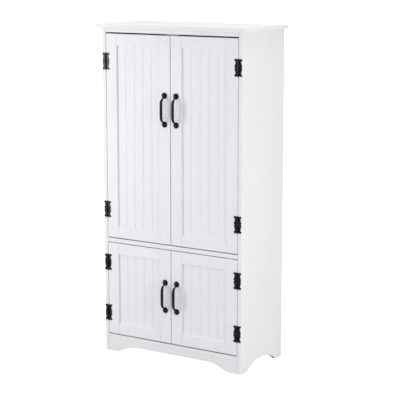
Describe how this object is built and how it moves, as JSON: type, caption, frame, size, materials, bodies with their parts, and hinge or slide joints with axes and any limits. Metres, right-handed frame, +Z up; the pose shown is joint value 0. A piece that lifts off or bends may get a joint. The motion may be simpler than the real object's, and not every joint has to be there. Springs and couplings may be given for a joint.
{
  "type": "pantry cabinet",
  "caption": "Free-standing pantry cabinet: tall doors over short doors, beadboard door panels, inner shelves, arched feet, surface hinges and arched pulls.",
  "frame": {"origin": "bottom centre of the box that bounds the closed cabinet, handles included, on the floor", "axes": "+Z up, +X to the right of someone facing the doors, doors face -Y"},
  "size_m": [0.632, 0.3177, 1.23],
  "materials": {
    "white_board": "satin white laminate on particle board",
    "white_door": "satin white lacquer on fibreboard",
    "white_hardboard": "matt white printed hardboard",
    "black_metal": "semi-gloss black powder coat",
    "zinc_steel": "zinc plated",
    "beech": "plain turned wood",
    "white_plastic": "moulded",
    "magnet": "sintered magnet between steel pole plates"
  },
  "bodies": {
    "carcass": {"top_panel": "white_board", "left_side_panel": "white_board", "right_side_panel": "white_board", "front_top_rail": "white_board", "rear_top_rail": "white_board", "divider_shelf": "white_board", "bottom_panel": "white_board", "skirt_board": "white_board", "upper_back_panel": "white_hardboard", "lower_back_panel": "white_hardboard", "upper_shelf_low": "white_board", "upper_shelf_high": "white_board", "lower_shelf": "white_board", "shelf_supports": "zinc_steel", "cam_locks": "zinc_steel", "cam_bolts": "zinc_steel", "wooden_dowels": "beech", "back_panel_screws": "zinc_steel", "catch_housings": "white_plastic", "catch_magnets": "magnet", "catch_screws": "zinc_steel", "frame_hinge_leaves": "black_metal", "hinge_pins": "black_metal", "frame_hinge_screws": "black_metal"},
    "upper_left_door": {"upper_left_hinge_stile": "white_door", "upper_left_handle_stile": "white_door", "upper_left_rails": "white_door", "upper_left_beadboard_panel": "white_door", "upper_left_handle": "black_metal", "upper_left_handle_screws": "zinc_steel", "upper_left_strike_plate": "zinc_steel", "upper_left_hinge_leaves": "black_metal", "upper_left_wood_screws": "black_metal"},
    "upper_right_door": {"upper_right_hinge_stile": "white_door", "upper_right_handle_stile": "white_door", "upper_right_rails": "white_door", "upper_right_beadboard_panel": "white_door", "upper_right_handle": "black_metal", "upper_right_handle_screws": "zinc_steel", "upper_right_strike_plate": "zinc_steel", "upper_right_hinge_leaves": "black_metal", "upper_right_wood_screws": "black_metal"},
    "lower_left_door": {"lower_left_hinge_stile": "white_door", "lower_left_handle_stile": "white_door", "lower_left_rails": "white_door", "lower_left_beadboard_panel": "white_door", "lower_left_handle": "black_metal", "lower_left_handle_screws": "zinc_steel", "lower_left_strike_plate": "zinc_steel", "lower_left_hinge_leaves": "black_metal", "lower_left_wood_screws": "black_metal"},
    "lower_right_door": {"lower_right_hinge_stile": "white_door", "lower_right_handle_stile": "white_door", "lower_right_rails": "white_door", "lower_right_beadboard_panel": "white_door", "lower_right_handle": "black_metal", "lower_right_handle_screws": "zinc_steel", "lower_right_strike_plate": "zinc_steel", "lower_right_hinge_leaves": "black_metal", "lower_right_wood_screws": "black_metal"}
  },
  "joints": [
    {"name": "upper_left_door_hinge", "type": "hinge", "parent": "carcass", "child": "upper_left_door", "pos_m": [-0.284, -0.13435, 0.81965], "axis": [0, 0, -1], "range_deg": [0, 180]},
    {"name": "upper_right_door_hinge", "type": "hinge", "parent": "carcass", "child": "upper_right_door", "pos_m": [0.284, -0.13435, 0.81965], "axis": [0, 0, 1], "range_deg": [0, 180]},
    {"name": "lower_left_door_hinge", "type": "hinge", "parent": "carcass", "child": "lower_left_door", "pos_m": [-0.284, -0.13435, 0.2461], "axis": [0, 0, -1], "range_deg": [0, 180]},
    {"name": "lower_right_door_hinge", "type": "hinge", "parent": "carcass", "child": "lower_right_door", "pos_m": [0.284, -0.13435, 0.2461], "axis": [0, 0, 1], "range_deg": [0, 180]}
  ]
}
